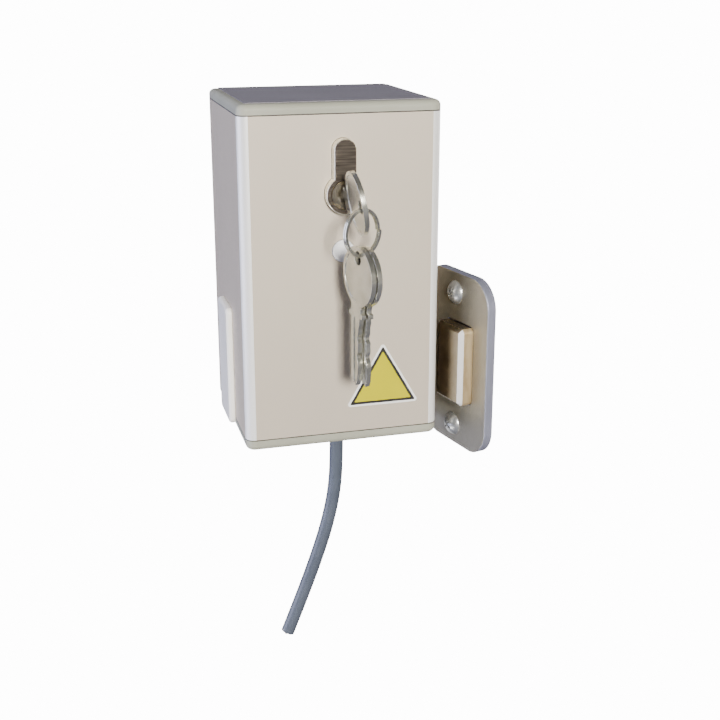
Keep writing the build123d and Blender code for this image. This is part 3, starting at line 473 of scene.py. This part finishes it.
def make_ring(finishes):
    """The split ring: two flat turns, one beside the other."""
    nothing_selected()
    bpy.ops.mesh.primitive_plane_add(size=1, location=(RING_RADIUS, 0, -RING_WIRE_WIDTH),
                                     rotation=(math.pi / 2, 0, 0))
    ring = bpy.context.object
    ring.name = "split_ring"
    ring.scale = (RING_WIRE_HEIGHT, RING_WIRE_WIDTH * RING_FILL, 1)
    settle(ring)
    coil = ring.modifiers.new("turns", "SCREW")
    coil.axis = "Z"
    coil.angle = 2 * math.pi
    coil.iterations = 2
    coil.screw_offset = RING_WIRE_WIDTH
    coil.steps = RING_STEPS
    coil.render_steps = RING_STEPS
    apply_modifiers(ring)
    bpy.ops.object.mode_set(mode="EDIT")
    bpy.ops.mesh.select_all(action="SELECT")
    bpy.ops.mesh.remove_doubles(threshold=MERGE)
    bpy.ops.mesh.normals_make_consistent(inside=False)
    bpy.ops.object.mode_set(mode="OBJECT")
    rounded(ring, RING_EDGE, angle=40)
    middle = Vector(RING_TOP) - Vector((0, 0, RING_RADIUS))
    turn = Matrix.Rotation(RING_YAW, 4, "Z") @ Matrix.Rotation(math.pi / 2, 4, "X")
    ring.matrix_world = Matrix.Translation(middle) @ turn
    settle(ring)
    dress(ring, finishes["key"])
    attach(ring, "ring")
    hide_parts("key_ring")


def triangle_film(name, side, height, corner, low_centre, material):
    """One flat layer of the sticker: a triangle with rounded corners, its base level."""
    nothing_selected()
    bpy.ops.mesh.primitive_circle_add(vertices=3, radius=side / math.sqrt(3), fill_type="NGON",
                                      rotation=(math.pi / 2, 0, 0))
    film = bpy.context.object
    film.name = name
    settle(film)
    lowest = min(vertex.co.z for vertex in film.data.vertices)
    film.data.transform(Matrix.Translation(Vector(low_centre) - Vector((0, 0, lowest))))
    only(film)
    bpy.ops.object.mode_set(mode="EDIT")
    bpy.ops.mesh.select_all(action="SELECT")
    bpy.ops.mesh.bevel(offset=corner, segments=5, affect="VERTICES")
    bpy.ops.mesh.extrude_region_move(TRANSFORM_OT_translate={"value": (0, -height, 0)})
    bpy.ops.mesh.select_all(action="SELECT")
    bpy.ops.mesh.normals_make_consistent(inside=False)
    bpy.ops.object.mode_set(mode="OBJECT")
    dress(film, material)
    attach(film, "case")


def make_sign(finishes):
    """The triangular sticker: white margin, dark line and plain yellow inside."""
    softened("warning_sign", finishes["sign_white"], SIGN_EDGE, 1)
    low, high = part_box("warning_sign")
    middle = (low.x + high.x) / 2
    border = SIGN_MARGIN
    triangle_film("sign_border", SIGN_SIDE - 2 * border * math.sqrt(3), LINE_HEIGHT, LINE_CORNER,
                  (middle, low.y, low.z + border), finishes["sign_dark"])
    field = SIGN_MARGIN + SIGN_LINE
    triangle_film("sign_field", SIGN_SIDE - 2 * field * math.sqrt(3), FIELD_HEIGHT, FIELD_CORNER,
                  (middle, low.y, low.z + field), finishes["sign_yellow"])


def carved(piece, cutter):
    """Cut one piece with another, which is then removed."""
    cut = piece.modifiers.new("cut", "BOOLEAN")
    cut.operation = "DIFFERENCE"
    cut.object = cutter
    cut.solver = "EXACT"
    apply_modifiers(piece)
    bpy.data.objects.remove(cutter)


def make_key(node, shoulder, along, cuts, finishes):
    """A key with a raised rim round its bow, from its shoulder's place and its two directions."""
    key = copied(node, node + "_finished")
    along = Vector(along).normalized()
    cuts = Vector(cuts).normalized()
    across = along.cross(cuts)
    place = Matrix((along, cuts, across)).transposed().to_4x4()
    place.translation = Vector(shoulder)
    for side in (-1, 1):
        nothing_selected()
        bpy.ops.mesh.primitive_cylinder_add(vertices=72, radius=1, depth=2 * BOW_RECESS)
        disc = bpy.context.object
        size = Matrix.Diagonal((BOW_SIZE[0] - BOW_RIM, BOW_SIZE[1] - BOW_RIM, 1, 1))
        disc.data.transform(size)
        disc.data.transform(place @ Matrix.Translation((BOW_MIDDLE, 0, side * KEY_HALF)))
        carved(key, disc)
    rounded(key, KEY_EDGE)
    dress(key, finishes["key"])
    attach(key, body_of(node))


def make_keys(finishes):
    """The key in the lock and the two that hang on the ring."""
    upwards = (-math.sin(KEY_TURN), 0, math.cos(KEY_TURN))
    make_key("key_in_lock", KEY_SHOULDER, (0, -1, 0), upwards, finishes)
    for node, side in (("spare_key_front", -1), ("spare_key_rear", 1)):
        across = Vector((math.cos(SPARE_YAW), math.sin(SPARE_YAW), 0))
        cuts = Vector((math.sin(SPARE_YAW), -math.cos(SPARE_YAW), 0))
        offset = side * SPARE_SPREAD
        hole = Vector(RING_TOP) + across * offset
        hole.z += offset * offset / (2 * RING_RADIUS) - 2 * RING_RADIUS - SPARE_DROP
        swing = Matrix.Rotation(REAR_KEY_SWING if side > 0 else 0, 3, Vector((0, 0, 1)).cross(cuts))
        along = swing @ Vector((0, 0, 1))
        make_key(node, hole - along * HOLE_DISTANCE, along, swing @ cuts, finishes)


def dress_hidden(finishes):
    """Finishes of the CAD nodes that keep their own mesh."""
    zinc = ["bottom_cap_screws", "cover_screws", "spacers", "plate_screws", "mechanism_plate",
            "bracket_screws", "cylinder_bracket", "cylinder_screw", "cylinder_cam", "hook_latch",
            "latch_bracket", "pivot_pin", "pivot_clip", "release_bar", "solenoid_frame",
            "solenoid_plunger", "link_pin", "terminal_screws", "base_plate"]
    for node in zinc:
        dress(frame["nodes"][node], finishes["zinc"])
    dress(frame["nodes"]["solenoid_coil"], finishes["coil"])
    dress(frame["nodes"]["terminal_block"], finishes["grey_block"])
    dress(frame["nodes"]["button_housing"], finishes["black"])
    dress(frame["nodes"]["cable_grommet"], finishes["rubber"])
    dress(frame["nodes"]["inner_cable"], finishes["sheath"])


def make_keeper(finishes):
    """The keeper: satin plate with a painted reflection on its edges, milled block with painted light on
    its forward sides and a painted highlight on their bevel, cross-slotted screws.
    """
    outward = Vector((-math.cos(KEEPER_TURN), -math.sin(KEEPER_TURN), 0))
    forward = Vector((math.sin(KEEPER_TURN), -math.cos(KEEPER_TURN), 0))
    plate = softened("keeper_plate", finishes["keeper"], EDGE)
    plate.data.materials.append(finishes["keeper_edge"])
    # Faces that don't face outwards take the painted reflection
    for face in plate.data.polygons:
        if abs(face.normal.dot(outward)) < PLATE_FACING:
            face.material_index = 1
    block = softened("keeper_block", finishes["block"], EDGE)
    block.data.materials.append(finishes["block_bevel"])
    block.data.materials.append(finishes["block_wall"])
    # Forward faces take the painted highlight on the bevel and the painted light on the wall
    for face in block.data.polygons:
        if face.normal.dot(forward) > PAINTED_SIDE_FORWARD:
            face.material_index = 1 if face.normal.dot(outward) > BEVEL_OUTWARD else 2
    screws = copied("keeper_screws", "keeper_screws_finished", flats=False)
    low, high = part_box("keeper_screws")
    middle = (low.z + high.z) / 2
    for side in (-1, 1):
        head = [vertex.co.copy() for vertex in screws.data.vertices if (vertex.co.z - middle) * side > 0]
        top = max(head, key=lambda place: place.dot(outward))
        centre = sum((place.z for place in head), 0.0) / len(head)
        for angle in SLOT_TURNS:
            nothing_selected()
            bpy.ops.mesh.primitive_cube_add(size=1)
            slot = bpy.context.object
            slot.data.transform(Matrix.Diagonal((*SLOT_SIZE, 1)))
            slot.data.transform(Matrix.Rotation(math.radians(angle), 4, "X"))
            slot.data.transform(Matrix.Rotation(KEEPER_TURN, 4, "Z"))
            slot.data.transform(Matrix.Translation((top.x, top.y, centre)))
            carved(screws, slot)
    rounded(screws, SCREW_EDGE)
    dress(screws, finishes["screw"])
    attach(screws, "keeper")


def make_outside(finishes):
    """The pieces that show, with rounded edges."""
    low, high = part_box("case_cover")
    seams = (low.z + SEAM_HEIGHT, high.z - SEAM_HEIGHT)
    cover = softened("case_cover", finishes["cover"], EDGE, levels=seams)
    cover.data.materials.append(finishes["corner"])
    cover.data.materials.append(finishes["seam"])
    # Faces on the rounded front corners take the painted highlight
    for face in cover.data.polygons:
        outside = max(abs(face.center.x) - high.x, low.y - face.center.y) > -CORNER_REACH
        leaning = abs(face.normal.x) > CORNER_LEAN and face.normal.y < -CORNER_LEAN
        if outside and leaning and abs(face.normal.z) < CORNER_TILT:
            face.material_index = 1
        # Bevel faces at the ends take the painted shadow of the seams
        if min(high.z - face.center.z, face.center.z - low.z) < SEAM_HEIGHT:
            face.material_index = 2
    softened("top_cap", finishes["cap"], CAP_EDGE)
    softened("bottom_cap", finishes["cap"], CAP_EDGE, flats=False)
    softened("blanking_plate", finishes["blank"], BLANK_EDGE, 3)
    softened("top_label", finishes["label"], LABEL_EDGE)
    cylinder = softened("cylinder_body", finishes["nickel"], EDGE)
    cylinder.data.materials.append(finishes["nickel_edge"])
    # Faces that don't face forwards take the lighter copy, a painted reflection
    for face in cylinder.data.polygons:
        if face.normal.y > -FACING:
            face.material_index = 1
    plug = softened("cylinder_plug", finishes["plug"], PLUG_EDGE)
    plug_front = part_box("cylinder_plug")[0].y
    nothing_selected()
    bpy.ops.mesh.primitive_cone_add(vertices=MOUTH_SIDES, radius1=MOUTH_INNER_RADIUS,
                                    radius2=MOUTH_OUTER_RADIUS, depth=MOUTH_DEPTH,
                                    location=(0, plug_front, PLUG_HEIGHT),
                                    rotation=(math.pi / 2, MOUTH_TURN, 0))
    carved(plug, bpy.context.object)
    softened("exit_button", finishes["white"], BUTTON_EDGE)
    make_keeper(finishes)


def make_world():
    """A dim studio, lighter and lavender behind the object, with a white backdrop."""
    world = bpy.data.worlds.new("studio")
    bpy.context.scene.world = world
    world.use_nodes = True
    nodes = world.node_tree.nodes
    links = world.node_tree.links
    background = nodes["Background"]
    direction = nodes.new("ShaderNodeTexCoord")
    lean = nodes.new("ShaderNodeVectorMath")
    lean.operation = "DOT_PRODUCT"
    lean.inputs[1].default_value = (0, 1, 0)
    links.new(direction.outputs["Generated"], lean.inputs[0])
    tones = nodes.new("ShaderNodeValToRGB")
    tones.color_ramp.elements[0].position = 0.0
    tones.color_ramp.elements[0].color = STUDIO_DIM
    tones.color_ramp.elements[1].position = 0.6
    tones.color_ramp.elements[1].color = STUDIO_LAVENDER
    links.new(lean.outputs["Value"], tones.inputs["Fac"])
    backdrop = nodes.new("ShaderNodeBackground")
    backdrop.inputs["Color"].default_value = (1, 1, 1, 1)
    backdrop.inputs["Strength"].default_value = BACKDROP
    path = nodes.new("ShaderNodeLightPath")
    mix = nodes.new("ShaderNodeMixShader")
    links.new(tones.outputs["Color"], background.inputs["Color"])
    background.inputs["Strength"].default_value = STUDIO_STRENGTH
    links.new(path.outputs["Is Camera Ray"], mix.inputs["Fac"])
    links.new(background.outputs["Background"], mix.inputs[1])
    links.new(backdrop.outputs["Background"], mix.inputs[2])
    links.new(mix.outputs["Shader"], nodes["World Output"].inputs["Surface"])


def white_backdrop(floor):
    """A floor that shows white and throws only a little light back."""
    material = surface("pale_floor", (0.07, 0.075, 0.11, 1), (0.09, 0.095, 0.13, 1), 3,
                       (0.8, 0.9), (60, 0.02, 0.0005))
    nodes = material.node_tree.nodes
    links = material.node_tree.links
    glow = nodes.new("ShaderNodeEmission")
    glow.inputs["Color"].default_value = (1, 1, 1, 1)
    glow.inputs["Strength"].default_value = BACKDROP
    path = nodes.new("ShaderNodeLightPath")
    mix = nodes.new("ShaderNodeMixShader")
    links.new(path.outputs["Is Camera Ray"], mix.inputs["Fac"])
    links.new(nodes["Principled BSDF"].outputs["BSDF"], mix.inputs[1])
    links.new(glow.outputs["Emission"], mix.inputs[2])
    links.new(mix.outputs["Shader"], nodes["Material Output"].inputs["Surface"])
    dress(floor, material)


def make_stage():
    """The floor and the studio's lamps, which all face the object: name, place, size, power and colour."""
    nothing_selected()
    bpy.ops.mesh.primitive_plane_add(size=FLOOR_SIZE, location=FLOOR_PLACE)
    floor = bpy.context.object
    floor.name = "floor"
    settle(floor)
    white_backdrop(floor)
    lamps = [("key_light", (-0.16, -2.57, 0.78), (0.42, 0.42), 137, (1.0, 0.97, 0.92)),
             ("left_softbox", (-1.0, 0.05, 0.14), (0.8, 1.1), 12.5, (0.84, 0.89, 1.24)),
             ("right_fill", (0.9, -1.1, 0.1), (0.9, 0.9), 0.8, (1.0, 0.98, 0.95)),
             ("right_side_softbox", (1.25, 0.25, 0.1), (0.8, 0.8), 6, (1.0, 0.98, 0.96)),
             ("back_softbox", (1.3, 1.5, -0.25), (1.2, 0.8), 11, (1.0, 1.0, 1.0)),
             ("low_softbox", (0.0, 0.22, -0.40), (0.5, 0.5), 1.0, (1.0, 1.0, 1.0)),
             ("low_left_softbox", (-0.32, -0.16, -0.38), (0.22, 0.1), 0.55, (1.0, 1.0, 1.0))]
    for name, place, size, power, colour in lamps:
        data = bpy.data.lights.new(name, "AREA")
        data.shape = "RECTANGLE"
        data.size, data.size_y = size
        data.energy = power
        data.color = colour
        lamp = bpy.data.objects.new(name, data)
        lamp.location = place
        lamp.visible_camera = False
        lamp.rotation_euler = Vector(place).to_track_quat("Z", "Y").to_euler()
        bpy.context.scene.collection.objects.link(lamp)


make_camera()
finishes = make_materials()
make_cable(finishes)
dress_hidden(finishes)
make_outside(finishes)
make_ring(finishes)
make_keys(finishes)
make_sign(finishes)
make_world()
make_stage()
